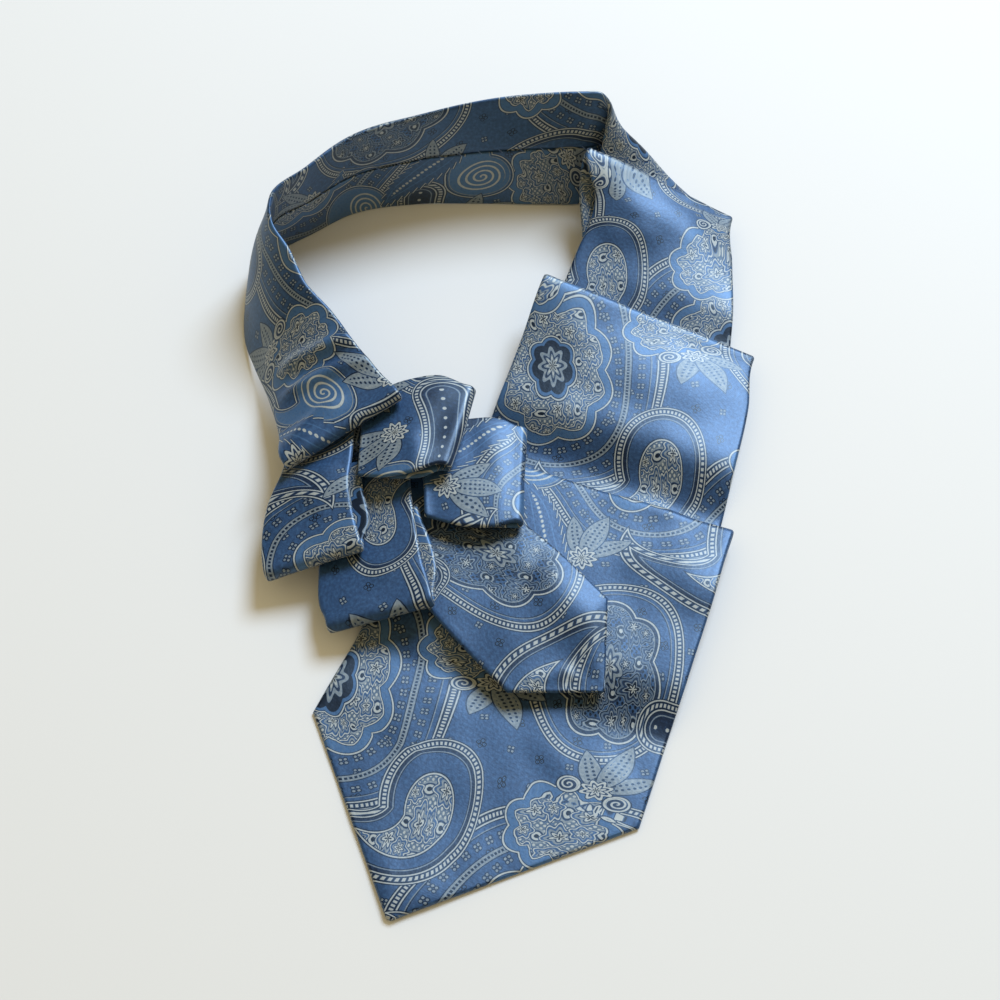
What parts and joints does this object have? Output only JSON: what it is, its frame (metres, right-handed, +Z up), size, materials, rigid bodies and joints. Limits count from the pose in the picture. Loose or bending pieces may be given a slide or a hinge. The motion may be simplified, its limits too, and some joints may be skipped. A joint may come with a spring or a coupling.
{
  "type": "silk cravat",
  "caption": "Wide woven silk necktie folded into a cravat: knife-pleated pointed blade at the front, neck band standing round the back and a folded ruffle with a short pointed tail.",
  "frame": {"origin": "centre of the bounding box's base, on the table", "axes": "+Z up from the table, +Y towards the back of the neck band, +X towards the pleats, with the ruffle on the -X side"},
  "size_m": [0.1735, 0.2805, 0.0415],
  "materials": {
    "silk_face": "woven silk, satin sheen",
    "silk_reverse": "silk in shade"
  },
  "bodies": {
    "root": {"blade": "silk_face", "pleat_lower": "silk_face", "pleat_upper": "silk_face", "neck_right": "silk_face", "neck_back": "silk_face", "neck_left": "silk_face", "loop_left_upper": "silk_face", "loop_right_upper": "silk_face", "loop_left_lower": "silk_face", "loop_right_lower": "silk_face", "tail": "silk_face", "ruffle_core": "silk_reverse"}
  },
  "joints": []
}
